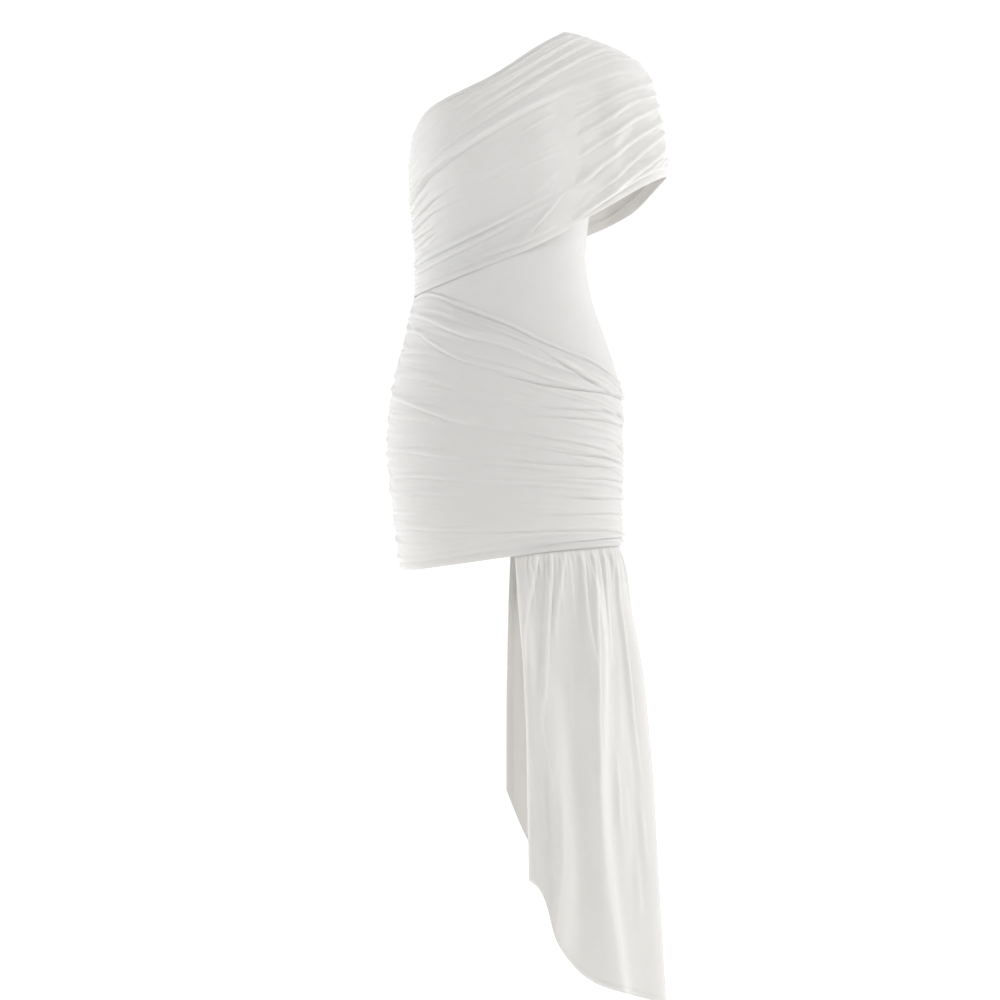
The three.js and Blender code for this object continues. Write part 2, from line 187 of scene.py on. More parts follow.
# Folds lie along a panel's rows, or down the tail. along and across are shares of the panel, bend
# moves the middle of the line across, height and width (half of it) are millimetres. A fold rises
# over its first share and dies away after the share held. sharp is how deep the crease beside it
# is, as a share of its height, on the side where across grows, and skew how wide that side is, as a
# share of the other.
Fold = namedtuple(
    "Fold",
    "start_along start_across end_along end_across bend height width rise held sharp skew",
    defaults=(0.12, 0.5, 0.5, 0.75),
)
DRAPE_FRONT_FOLDS = [
    # From the shoulder down towards the right side seam.
    Fold(0.97, 0.1, 0.2, 0.2, 0.02, 2.2, 6, 0.2, 0.5, 0.4),
    Fold(0.84, 0.2, 0.22, 0.3, 0.02, 3, 6, 0.2, 0.45, 0.55),
    Fold(0.9, 0.3, 0.26, 0.38, 0.015, 3.2, 6.4, 0.2, 0.5, 0.55),
    Fold(0.97, 0.38, 0.5, 0.42, 0.02, 1.8, 4.5, 0.2, 0.4, 0.5),
    # The main fold, sharpest at the side seam.
    Fold(-0.04, 0.425, 0.95, 0.49, 0.008, 5.2, 7.5, 0.08, 0.45, 0.45),
    Fold(0.02, 0.43, 0.42, 0.463, 0, 1.2, 2.5, 0.2, 0.5, 0.6),
    # From the seam on the arm in towards the chest.
    Fold(1, 0.5, 0.48, 0.62, 0.03, 6, 4.8, 0.05, 0.4, 0.3),
    Fold(1, 0.56, 0.5, 0.7, 0.02, 7, 4.8, 0.05, 0.4, 0.3),
    Fold(1, 0.625, 0.44, 0.8, 0.01, 7.4, 5, 0.05, 0.4, 0.3),
    Fold(1, 0.69, 0.47, 0.89, 0.01, 8, 5.8, 0.05, 0.45, 0.3),
    Fold(1, 0.75, 0.52, 0.97, 0.005, 7, 5.4, 0.05, 0.5, 0.3),
    Fold(1, 0.81, 0.52, 0.985, 0.03, 6.4, 6, 0.05, 0.8, 0.35),
    Fold(0.95, 0.525, 0.74, 0.575, 0, 1.6, 2.5, 0.15, 0.5, 1),
    Fold(0.97, 0.59, 0.76, 0.635, 0, 1.8, 2.5, 0.15, 0.5, 1),
    Fold(0.98, 0.66, 0.8, 0.705, 0, 1.6, 2.3, 0.15, 0.5, 1),
    Fold(0.99, 0.72, 0.84, 0.79, 0, 1.8, 2.6, 0.15, 0.5, 1),
    Fold(0.99, 0.86, 0.8, 0.955, 0, 2.4, 3, 0.15, 0.5, 0.8),
    # The turn between the chest and the arm.
    Fold(0.8, 0.68, 0.52, 0.92, 0, 4, 13, 0.3, 0.6, 0.2),
    Fold(0.82, 0.6, 0.56, 0.74, 0, 2.5, 9, 0.3, 0.6, 0.2),
    # The fan from the right side seam.
    Fold(0, 0.34, 0.2, 0.405, 0.01, 2, 3.5, 0.1, 0.4, 0.8),
    Fold(0, 0.49, 0.24, 0.52, 0.005, 2.6, 3.6, 0.1, 0.4, 0.8),
    Fold(0, 0.54, 0.3, 0.585, 0.01, 3, 4, 0.1, 0.4, 0.9),
    Fold(0, 0.59, 0.34, 0.665, 0.005, 3, 4, 0.1, 0.4, 0.8),
    Fold(0, 0.645, 0.26, 0.71, 0.01, 2.4, 3.4, 0.1, 0.4, 0.8),
    Fold(0, 0.71, 0.24, 0.735, 0, 2.6, 3.6, 0.1, 0.4, 0.8),
    Fold(0, 0.775, 0.2, 0.79, 0, 2.4, 3.4, 0.1, 0.4, 0.8),
    # Long ones above the hem.
    Fold(-0.02, 0.815, 0.6, 0.835, 0.008, 3.4, 4.6, 0.1, 0.5, 0.5),
    Fold(0.02, 0.87, 0.6, 0.86, 0.008, 3, 4.4, 0.15, 0.5, 0.4),
    Fold(0.44, 0.965, 0.6, 0.815, 0, 2.4, 4.5, 0.3, 0.6, 0.6),
    Fold(0.3, 0.935, 0.66, 0.965, 0.01, 2, 6, 0.3, 0.6, 0.5),
    Fold(0.88, 0.935, 0.5, 0.985, 0, 2.6, 5, 0.2, 0.6, 0.6),
]
DRAPE_BACK_FOLDS = [
    Fold(0.96, 0.12, 0.3, 0.16, 0.02, 2.4, 6, 0.2, 0.5, 0.5),
    Fold(0.9, 0.22, 0.16, 0.27, 0.02, 3.4, 6, 0.2, 0.55, 0.6),
    Fold(-0.02, 0.34, 0.9, 0.36, 0.02, 3.4, 6.5, 0.1, 0.5, 0.7),
    Fold(1, 0.47, 0.36, 0.5, 0.02, 4.4, 7, 0.05, 0.4, 0.8),
    Fold(1, 0.55, 0.6, 0.63, 0.02, 3.4, 5, 0.05, 0.4, 0.8),
    Fold(1, 0.63, 0.5, 0.72, 0.01, 4.2, 6, 0.05, 0.4, 0.7),
    Fold(1, 0.7, 0.56, 0.82, 0.01, 3.8, 5.5, 0.05, 0.4, 0.8),
    Fold(1, 0.78, 0.46, 0.9, 0.01, 4.4, 6, 0.05, 0.5, 0.8),
    Fold(1, 0.86, 0.6, 0.97, 0, 3.4, 5, 0.05, 0.5, 0.7),
    Fold(0, 0.44, 0.5, 0.52, 0.01, 3.6, 5, 0.1, 0.45, 0.9),
    Fold(0, 0.52, 0.3, 0.56, 0.01, 2.8, 4, 0.1, 0.4, 0.8),
    Fold(0, 0.6, 0.36, 0.66, 0.01, 3.2, 4.4, 0.1, 0.4, 0.9),
    Fold(0, 0.67, 0.24, 0.71, 0.01, 2.6, 3.6, 0.1, 0.4, 0.8),
    Fold(0, 0.75, 0.6, 0.79, 0.01, 3.2, 5, 0.1, 0.6, 0.8),
    Fold(0, 0.85, 0.66, 0.88, 0.01, 3, 5, 0.1, 0.7, 0.6),
    Fold(0.3, 0.94, 0.86, 0.93, 0.01, 2.4, 6, 0.3, 0.6, 0.5),
]
# The cape dips between the chest and the arm: here along goes down the panel, across over it.
CAPE_DIPS = [
    Fold(0.36, 0.6, 1.15, 0.575, -0.015, -6, 19, 0.4, 0.85, 0, 1),
    Fold(0.42, 0.72, 1.15, 0.68, 0, 5, 18, 0.4, 0.85, 0, 1),
]
SKIRT_FRONT_FOLDS = [
    # From the right side seam under the upper edge.
    Fold(0.01, 0.045, 0.62, 0.085, 0.045, 2.6, 5, 0.1, 0.55, 0.5),
    Fold(0, 0.1, 0.3, 0.165, 0.01, 2.2, 4, 0.1, 0.5, 0.7),
    Fold(0.1, 0.115, 0.42, 0.215, 0.02, 2.2, 3, 0.2, 0.6, 1.1),
    Fold(0, 0.2, 0.32, 0.25, 0.015, 1.8, 5, 0.1, 0.4, 0.5),
    Fold(0, 0.27, 0.48, 0.315, 0.015, 2, 6, 0.1, 0.5, 0.6),
    # The strong one that runs out of the left side seam, and its neighbours.
    Fold(1, 0.085, 0.4, 0.24, 0.02, 3.8, 5, 0.06, 0.5, 1),
    Fold(0.88, 0.145, 0.56, 0.02, 0.02, 2.6, 5, 0.2, 0.5, 0.7),
    Fold(1, 0.2, 0.5, 0.345, 0, 2.4, 4, 0.08, 0.5, 0.7),
    Fold(1, 0.27, 0.5, 0.395, -0.015, 2.8, 4.2, 0.08, 0.5, 0.9),
    Fold(1, 0.37, 0.6, 0.44, 0, 1.8, 4, 0.08, 0.4, 0.6),
    # The crease on the right hip.
    Fold(0.02, 0.345, 0.56, 0.465, 0.02, 2.6, 6, 0.2, 0.45, 0.6),
    Fold(0.13, 0.385, 0.38, 0.455, 0.005, 1.6, 2.6, 0.3, 0.5, 1.6),
    # Across the hips and down to the hem.
    Fold(0, 0.54, 0.5, 0.59, 0.015, 2, 5, 0.1, 0.5, 0.6),
    Fold(0.98, 0.53, 0.4, 0.585, 0.01, 2.2, 4.5, 0.1, 0.5, 0.8),
    Fold(1, 0.485, 0.62, 0.525, 0, 2, 4, 0.1, 0.4, 0.9),
    Fold(0.04, 0.655, 0.52, 0.68, 0, 1.8, 4, 0.2, 0.5, 0.9),
    Fold(1, 0.6, 0.55, 0.65, 0, 2.2, 4.2, 0.1, 0.5, 0.9),
    Fold(0.1, 0.72, 0.5, 0.74, 0, 1.4, 4, 0.2, 0.5, 0.6),
    Fold(1, 0.7, 0.6, 0.73, 0.01, 2.4, 4.4, 0.1, 0.5, 0.9),
    Fold(0, 0.78, 0.4, 0.8, 0.005, 1.4, 4, 0.1, 0.5, 0.6),
    Fold(1, 0.79, 0.5, 0.81, 0.015, 2.2, 4.2, 0.1, 0.5, 0.8),
    Fold(0.06, 0.83, 0.96, 0.9, 0.02, 1.8, 4.5, 0.15, 0.8, 0.9),
    Fold(1, 0.93, 0.48, 0.96, 0.005, 2, 4, 0.1, 0.6, 0.8),
]
SKIRT_BACK_FOLDS = [
    Fold(0, 0.05, 0.5, 0.07, 0.03, 2.4, 5, 0.1, 0.5, 0.6),
    Fold(0, 0.15, 0.56, 0.21, 0.02, 2.8, 5, 0.1, 0.5, 0.8),
    Fold(0, 0.27, 0.36, 0.32, 0.01, 2, 5, 0.1, 0.4, 0.6),
    Fold(1, 0.1, 0.5, 0.2, 0.02, 3, 5, 0.06, 0.5, 0.9),
    Fold(1, 0.21, 0.36, 0.31, 0.01, 2.6, 5, 0.08, 0.5, 0.7),
    Fold(1, 0.32, 0.6, 0.4, 0, 2.4, 4.2, 0.08, 0.4, 0.9),
    Fold(0, 0.4, 0.62, 0.46, 0.01, 2.6, 6, 0.1, 0.5, 0.7),
    Fold(1, 0.46, 0.44, 0.53, 0.01, 2.2, 4.6, 0.1, 0.5, 0.8),
    Fold(0, 0.53, 0.46, 0.58, 0.01, 2, 5, 0.1, 0.5, 0.7),
    Fold(1, 0.58, 0.6, 0.63, 0, 2.2, 4.2, 0.1, 0.5, 0.8),
    Fold(0, 0.66, 0.6, 0.7, 0.01, 1.8, 4.5, 0.1, 0.5, 0.8),
    Fold(1, 0.7, 0.5, 0.74, 0.01, 2.2, 4.4, 0.1, 0.5, 0.8),
    Fold(0, 0.79, 0.5, 0.83, 0.01, 1.8, 4.5, 0.1, 0.5, 0.8),
    Fold(1, 0.84, 0.3, 0.88, 0.02, 2, 4.6, 0.1, 0.6, 0.8),
]
# The tail's folds hang from the skirt's hem: along goes down it, across round it from its front edge.
TAIL_FOLDS = [
    # Out of the gathers to the front edge.
    Fold(0, 0.03, 1.1, 0.015, 0, 2, 9, 0.1, 0.95, 0, 1),
    Fold(0, 0.105, 0.42, 0, -0.028, 6, 9, 0.06, 0.6, 0.1, 0.4),
    Fold(0, 0.15, 0.58, 0.032, 0, 6, 4.6, 0.06, 0.6, 0.15, 0.9),
    Fold(0, 0.215, 0.28, 0.13, -0.02, 3, 4.5, 0.06, 0.5, 0.15, 0.9),
    Fold(0, 0.262, 0.4, 0.255, -0.014, 5.5, 4.6, 0.06, 0.5, 0.15, 0.9),
    Fold(0, 0.35, 0.3, 0.345, -0.012, 4, 4, 0.06, 0.4, 0.2, 0.9),
    Fold(0, 0.39, 0.62, 0.43, 0, 4, 5, 0.06, 0.4, 0.2, 0.7),
    # The one that grows out low on the front, and the broad one beside it with its crisp crest.
    Fold(0.26, 0.085, 1.1, 0.055, 0.045, 19, 34, 0.5, 0.95, 0, 0.5),
    Fold(0.5, 0.128, 1.1, 0.06, 0.015, 2, 4.5, 0.4, 0.9, 0, 0.7),
    Fold(0, 0.312, 1.1, 0.285, -0.05, 22, 30, 0.25, 0.95, 0, 0.5),
    Fold(0, 0.312, 0.9, 0.26, -0.044, 4, 4.6, 0.05, 0.3, 0, 0.6),
    # The side and the back.
    Fold(0, 0.475, 1.1, 0.47, 0, 17, 26, 0.3, 0.95, 0.1, 0.9),
    Fold(0, 0.565, 1.1, 0.575, 0, 17, 22, 0.22, 0.95, 0.3, 0.5),
    Fold(0, 0.63, 0.55, 0.645, 0, 7, 9, 0.1, 0.5, 0.3, 0.7),
    Fold(0, 0.69, 1.1, 0.7, 0.01, 20, 27, 0.22, 0.95, 0.2, 0.45),
    Fold(0, 0.77, 0.8, 0.755, 0, 9, 10, 0.12, 0.5, 0.3, 0.6),
    Fold(0, 0.82, 1.1, 0.84, -0.01, 18, 22, 0.22, 0.95, 0.2, 0.5),
    Fold(0, 0.93, 1.1, 0.94, 0, 3, 18, 0.2, 0.95, 0, 1),
    # Creases low on the front edge's fold.
    Fold(0.42, 0.045, 0.72, 0.095, 0, 1, 6, 0.3, 0.6, 0.3),
    Fold(0.5, 0.09, 0.8, 0.045, 0, 0.9, 6, 0.3, 0.6, 0.3),
    Fold(0.62, 0.04, 0.9, 0.09, 0, 1, 6, 0.3, 0.6, 0.3),
    Fold(0.56, 0.02, 0.84, 0.035, 0, 0.9, 6, 0.3, 0.6, 0.3),
    Fold(0.46, 0.115, 0.68, 0.075, 0, 0.8, 5, 0.3, 0.6, 0.3),
]


def mix(a, b, share):
    """a where share is 0, b where it is 1, and a straight line between."""
    return a + (b - a) * share


def smooth(x, low, high):
    """0 up to low, 1 from high, and 3s^2 - 2s^3 of the share s between them."""
    share = np.clip((x - low) / (high - low), 0, 1)
    return share * share * (3 - 2 * share)


def row_slopes(rows, keys):
    """The slope at each row: that of the line between its neighbours, or to the only one."""
    keys = keys.reshape(-1, *[1] * (rows.ndim - 1))
    slopes = np.empty_like(rows)
    slopes[1:-1] = (rows[2:] - rows[:-2]) / (keys[2:] - keys[:-2])
    slopes[0] = (rows[1] - rows[0]) / (keys[1] - keys[0])
    slopes[-1] = (rows[-1] - rows[-2]) / (keys[-1] - keys[-2])
    return slopes


def cubic(a, b, slope_a, slope_b, span, t):
    """The cubic that goes from a to b over a span, with a slope at each end, at its share t."""
    return (
        a * (1 + 2 * t) * (1 - t) ** 2
        + slope_a * span * t * (1 - t) ** 2
        + b * t**2 * (3 - 2 * t)
        + slope_b * span * t**2 * (t - 1)
    )


def read(table, at):
    """Every column of a table at values of its first one, from cubic pieces through the rows."""
    rows = np.array(table, float)
    keys = rows[:, 0]
    slopes = row_slopes(rows, keys)
    at = np.clip(at, keys[0], keys[-1])
    i = np.clip(np.searchsorted(keys, at, side="right") - 1, 0, len(keys) - 2)
    span = (keys[i + 1] - keys[i])[..., None]
    t = (at - keys[i])[..., None] / span
    values = cubic(rows[i], rows[i + 1], slopes[i], slopes[i + 1], span, t)
    return type(table[0])(*np.moveaxis(values, -1, 0))


def quarter(share, power):
    """A quarter of a round outline: 0 at the edge, 1 at full depth."""
    left = 1 - np.clip(share, 0, 1)
    return (1 - left**power) ** (1 / power)


def grid(columns, rows):
    """Two arrays, rows by columns, of the shares across and down a panel."""
    return np.meshgrid(np.linspace(0, 1, columns + 1), np.linspace(0, 1, rows + 1))


def outward(points, side):
    """The unit normal of a grid surface, from its steps across and down, turned to its outer side."""
    across, down = np.gradient(points, axis=1), np.gradient(points, axis=0)
    normal = side * np.cross(across, down)
    return normal / np.maximum(np.linalg.norm(normal, axis=-1, keepdims=True), 1e-12)


def figure_surface(side, u, drop):
    """Points on the figure: x follows a cosine across it and the depth a squarer one round it."""
    ring = read(FIGURE, drop)
    depth = ring.front if side == FRONT else ring.back
    x = ring.centre - ring.half_width * np.cos(np.pi * u)
    y = side * depth * np.sin(np.pi * u) ** (2 / FIGURE_POWER)
    return np.stack([x, y, -drop], axis=-1)


def seam_distance(x, drop):
    """Distance in the front view from each point to the nearest stretch of the shoulder and arm seam."""
    seam = read(ARM_SEAM, np.linspace(0, 1, 49))
    line = np.concatenate([[NECK_LEAN], np.stack([seam.x, seam.drop], axis=-1)])
    places = np.stack([x, drop], axis=-1)
    nearest = np.full(x.shape, np.inf)
    for a, b in zip(line[:-1], line[1:]):
        step = b - a
        t = np.clip((places - a) @ step / (step @ step), 0, 1)
        nearest = np.minimum(nearest, np.linalg.norm(a + t[..., None] * step - places, axis=-1))
    return nearest


def row_bow(side, share, v):
    """How far a drape's row lies above the line between its ends: cubic pieces through its three bows
    and nothing at both ends."""
    row = read(DRAPE_ROWS, v)
    far = row.far if side == FRONT else row.far_back
    keys = np.array([0, *BOW_PLACES, 1])
    bows = np.stack([0 * v, row.near, row.middle, far, 0 * v])
    slopes = row_slopes(bows, keys)
    i = np.clip(np.searchsorted(keys, share, side="right") - 1, 0, len(keys) - 2)
    span = keys[i + 1] - keys[i]
    t = (share - keys[i]) / span

    def pick(values, index):
        return np.take_along_axis(values, index[None], axis=0)[0]

    return cubic(pick(bows, i), pick(bows, i + 1), pick(slopes, i), pick(slopes, i + 1), span, t)


def drape_surface(side, u, v):
    """A drape before its folds: rows from the right side seam to the arm seam, as deep as the chest
    and then as the arm, and rounded off towards both seams."""
    start_drop = mix(*DRAPE_SIDE, v)
    start = read(FIGURE, start_drop)
    end = read(ARM_SEAM, v)
    share = (1 - np.cos(np.pi * u)) / 2
    x = mix(start.centre - start.half_width, end.x, share)
    drop = mix(start_drop, end.drop, share + row_bow(side, share, v))
    ring = read(FIGURE, drop)
    chest = ring.front if side == FRONT else ring.back
    depth = mix(chest, ARM_DEPTH, smooth(x, *ARM_BLEND))
    side_round = quarter((x - ring.centre + ring.half_width) / ring.half_width, FIGURE_POWER)
    arm_round = quarter(seam_distance(x, drop) / SHOULDER_ROUND, 2)
    return np.stack([x, side * depth * side_round * arm_round, -drop], axis=-1)


def wrap_surface(side, edges, u, v):
    """A skirt or waist panel on the figure, with its rows between its upper edge and its hem."""
    edge = read(edges, u)
    return figure_surface(side, u, mix(edge.top, edge.hem, v))


def tail_surface(w, t):
    """The tail before its folds: rings that open out on their way down, each half an ellipse from one
    free edge to the other, hung from the skirt's hem."""
    angle = np.pi * w - TAIL_CROWDING * np.sin(2 * np.pi * w)
    down = t * (read(TAIL_HEM, w).length + TAIL_TUCK)
    in_front = w < 0.5

    def x_of(ring):
        return mix(np.where(in_front, ring.front_edge, ring.back_edge), ring.side, np.sin(angle))

    ring = read(TAIL_RINGS, down)
    y = -np.where(in_front, ring.front, ring.back) * np.cos(angle)
    top_x = x_of(TAIL_RINGS[0])
    hem_u = np.arccos(np.clip((FIGURE[-1].centre - top_x) / FIGURE[-1].half_width, -1, 1)) / np.pi
    return np.stack([x_of(ring), y, TAIL_TUCK - read(SKIRT_EDGES, hem_u).hem - down], axis=-1)


def fold_lift(folds, along, across, mm_along, mm_across):
    """Height in mm of all the folds. With d the distance from a fold's line in half widths, each adds
    height * (exp(-d^2) - sharp * exp(-((d - 1.15) / 0.45)^2)), faded at both ends of its line."""
    lift = np.zeros_like(along)
    for number, fold in enumerate(folds):
        run = fold.end_along - fold.start_along
        s = (along - fold.start_along) / run
        line = mix(fold.start_across, fold.end_across, s) + fold.bend * 4 * s * (1 - s)
        slope = (fold.end_across - fold.start_across + fold.bend * 4 * (1 - 2 * s)) / run
        steep = np.sqrt(1 + np.clip(slope * mm_across / mm_along, -4, 4) ** 2)
        wander = 0.12 * fold.width * np.sin(9 * s + 2.4 * number)
        half = fold.width * mix(0.8, 1.25, np.clip(s, 0, 1))
        gap = (across - line) * mm_across / steep + wander
        d = gap / (half * np.where(gap > 0, fold.skew, 1))
        profile = np.exp(-(d**2)) - fold.sharp * np.exp(-(((d - 1.15) / 0.45) ** 2))
        ends = smooth(s, 0, fold.rise) * (1 - smooth(s, fold.held, 1))
        lift += fold.height * profile * ends
    return lift


def scaled(folds, scale):
    """The folds with their heights multiplied by scale."""
    return [fold._replace(height=fold.height * scale) for fold in folds]


def seam_gathers(seed, seam, count, start, end, reach, height, width, lean):
    """A row of uneven gathers that leave a seam: evenly pitched places moved by a third of the pitch,
    with lengths, heights and widths drawn from a fixed seed."""
    rng = np.random.default_rng(seed)
    inwards = 1 if seam == 0 else -1
    pitch = (end - start) / count
    folds = []
    for i in range(count):
        place = start + pitch * (i + 0.5 + rng.uniform(-0.33, 0.33))
        length = reach * rng.uniform(0.35, 1.1)
        drift = lean * length * rng.uniform(0.6, 1.4)
        bend = 0.15 * drift * inwards
        size = (height * rng.uniform(0.55, 1.25), width * rng.uniform(0.75, 1.3))
        end_along = seam + inwards * length
        folds.append(Fold(seam, place, end_along, place + drift, bend, *size, 0.06, 0.15, 0.4))
    return folds


def all_gathers(table, seed, step):
    """The gathers of every row of a table, each row from a seed of its own."""
    rows = [seam_gathers(seed + step * number, *row) for number, row in enumerate(table)]
    return [fold for row in rows for fold in row]


def fine_folds(seed, count, lengths, height, width, tilt):
    """Low folds strewn over a panel along its rows, from a fixed seed."""
    rng = np.random.default_rng(seed)
    folds = []
    for _ in range(count):
        along, across = rng.uniform(-0.05, 0.85), rng.uniform(0.03, 0.97)
        length, drift = rng.uniform(*lengths), rng.uniform(-tilt, tilt)
        size = (height * rng.uniform(0.4, 1.3), width * rng.uniform(0.7, 1.5))
        ends = along, across, along + length, across + drift
        folds.append(Fold(*ends, 0.3 * drift, *size, 0.35, 0.6, 0.5))
    return folds


def spans(points):
    """Millimetres for each whole share across and down a grid surface, at each of its points."""
    rows, columns = points.shape[:2]
    across = np.linalg.norm(np.gradient(points, axis=1), axis=-1) * (columns - 1)
    down = np.linalg.norm(np.gradient(points, axis=0), axis=-1) * (rows - 1)
    return np.maximum(across, 1), np.maximum(down, 1)


def turned_edge(distance, width, rise, groove, roll):
    """A hem turned in and stitched: the cloth stands rise higher up to its stitch line, sinks by groove
    along that line, and rolls in by roll at its very edge."""
    lip = rise * (1 - smooth(distance, width - 1.5, width + 1.5))
    line = groove * np.exp(-(((distance - width - 1) / 1.9) ** 2))
    turn = (rise + roll) * np.exp(-((distance / (1.5 + 1.1 * roll)) ** 2))
    return lip - line - turn


def cloth_piece(name, node, points, side, hem, settings):
    """A mesh from a grid of points in mm, one face for each cell of the grid. Its UV map is the length
    along the cloth in metres, and its attribute hem the distance in mm from a finished edge. Solidify
    gives it the thickness of the cloth."""
    rows, columns = points.shape[:2]
    vertices = (points - [SHOULDER_X, 0, 0]) * MM
    index = np.arange(rows * columns).reshape(rows, columns)
    corners = [index[:-1, :-1], index[1:, :-1], index[1:, 1:], index[:-1, 1:]]
    if side == BACK:
        corners = corners[::-1]
    faces = np.stack(corners, axis=-1).reshape(-1, 4)
    mesh = bpy.data.meshes.new(name)
    mesh.from_pydata(vertices.reshape(-1, 3), [], faces)
    across = np.linalg.norm(np.diff(vertices, axis=1), axis=-1).cumsum(axis=1)
    down = np.linalg.norm(np.diff(vertices, axis=0), axis=-1).cumsum(axis=0)
    uv = np.stack([np.pad(across, ((0, 0), (1, 0))), -np.pad(down, ((1, 0), (0, 0)))], axis=-1)
    layer = mesh.uv_layers.new(name="cloth")
    layer.data.foreach_set("uv", uv.reshape(-1, 2)[faces.ravel()].astype(np.float32).ravel())
    attribute = mesh.attributes.new("hem", "FLOAT", "POINT")
    attribute.data.foreach_set("value", hem.astype(np.float32).ravel())
    mesh.polygons.foreach_set("use_smooth", np.ones(len(faces), bool))
    mesh.update()
    mesh.materials.append(jersey_material())
    piece = bpy.data.objects.new(name, mesh)
    bpy.context.scene.collection.objects.link(piece)
    wall = piece.modifiers.new("cloth thickness", "SOLIDIFY")
    wall.thickness = settings.thickness
    wall.offset = 0
    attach(piece, "root")
    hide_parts(node)
    return piece


# Turned edges: width, rise, groove and roll in mm. A lower hem's width is one of the settings.
NECK_EDGE = (6, 0.6, 1, 4.6)
SKIRT_TOP_EDGE = (5, 0.8, 1.2, 0.5)
TAIL_EDGE = (5, 0.3, 0.2, 0.4)
HEM_EDGE = (0.4, 0.3, 0.4)

# How far from the right and from the left seam a panel's folds reach their full height, in mm. The
# gathers, which the seam's own stitches make, reach it within GATHER_HOLD of either.
DRAPE_HOLDS = (9, 30)
SKIRT_HOLDS = (9, 9)
GATHER_HOLD = 4
SEAM_PULL, SEAM_WIDTH = 0.8, 2.2  # how deep and how wide the seam itself draws the cloth in
HEM_DRAW, HEM_DRAW_WIDTH = 0.8, 14  # the same for the lower hem, over what lies under it
SHOULDER_ROLL, SHOULDER_REACH = 0.4, 45  # share of the upper edge's roll left at the arm seam
LOWEST, LOWEST_REACH, LOWEST_ROUND = -4, (8, 20), 0.6  # deepest that the upper edge's cloth sinks


def own_side(points, side):
    """Keeps a half of the dress on its own side of the plane through the side seams."""
    points[..., 1] = side * np.maximum(side * points[..., 1], 0)
    return points


def ruched_panel(base, side, u, v, folds, gathers, dips, top_edge, holds, settings):
    """A ruched panel: the base surface moved out along its normal by its folds, its gathers and its
    turned edges. Both side seams hold the cloth down, so the lift grows from nothing next to them.
    Its lower hem is drawn in against what lies under it. Away from its upper edge the cloth never
    sinks under the figure line, where the waist lies."""
    folds, gathers = scaled(folds, settings.fold_scale), scaled(gathers, settings.fold_scale)
    mm_u, mm_v = spans(base)
    from_seam = np.minimum(u, 1 - u) * mm_u
    released = smooth(u * mm_u, -1, holds[0]) * smooth((1 - u) * mm_u, -1, holds[1])
    lift = (fold_lift(folds, u, v, mm_u, mm_v) + fold_lift(dips, v, u, mm_v, mm_u)) * released
    lift += fold_lift(gathers, u, v, mm_u, mm_v) * smooth(from_seam, -2, GATHER_HOLD)
    pull = -SEAM_PULL * np.exp(-((from_seam / SEAM_WIDTH) ** 2))
    top, bottom = v * mm_v, (1 - v) * mm_v
    drawn = 1 - smooth(bottom, 0, HEM_DRAW_WIDTH)
    shoulder = mix(SHOULDER_ROLL, 1, smooth((1 - u) * mm_u, 0, SHOULDER_REACH))
    hem = turned_edge(bottom, settings.hem_width / MM, *HEM_EDGE)
    turned = turned_edge(top, *top_edge) * shoulder + hem
    lift = OUTER_LIFT + lift * (1 - 0.5 * drawn) + pull + turned - HEM_DRAW * drawn
    lowest = LOWEST * (1 - smooth(top, *LOWEST_REACH))
    rounded = lowest + LOWEST_ROUND * np.exp((lift - lowest) / LOWEST_ROUND - 1)
    lift = np.where(lift < lowest + LOWEST_ROUND, rounded, lift)
    points = base + outward(base, side) * lift[..., None]
    return own_side(points, side), np.minimum(top, bottom)


# Gathers of each seam: its along (0 or 1), their count, the stretch they fill, reach, height and
# width in mm, and how far they drift across for each share along.
DRAPE_GATHERS = [
    (1, 38, 0.36, 1, 0.1, 2.3, 2, 0.35),
    (1, 14, 0.38, 1, 0.28, 1.5, 2.8, 0.35),
    (0, 26, 0.16, 1, 0.1, 1.5, 2.5, 0.2),
    (0, 17, 0.2, 1, 0.26, 1.9, 3, 0.2),
]
SKIRT_GATHERS = [
    (0, 26, 0, 1, 0.15, 2.1, 3.4, 0.4),
    (0, 22, 0, 1, 0.4, 1.4, 3.6, 0.14),
    (1, 24, 0, 1, 0.15, 2.1, 2.8, -0.4),
    (1, 20, 0, 1, 0.45, 1.3, 3.2, -0.14),
]


class ClothSettings(bpy.types.PropertyGroup):
    thickness: bpy.props.FloatProperty(
        name="Cloth thickness",
        description="Thickness of the jersey",
        default=0.0013,
        min=0.0006,
        max=0.003,
        unit="LENGTH",
    )
    fold_scale: bpy.props.FloatProperty(
        name="Fold height",
        description="Scales the height of every fold and gather",
        default=1,
        min=0,
        max=1.5,
        subtype="FACTOR",
    )
    hem_width: bpy.props.FloatProperty(
        name="Hem width",
        description="Width of the hems that are turned in and stitched",
        default=0.009,
        min=0.004,
        max=0.03,
        unit="LENGTH",
    )


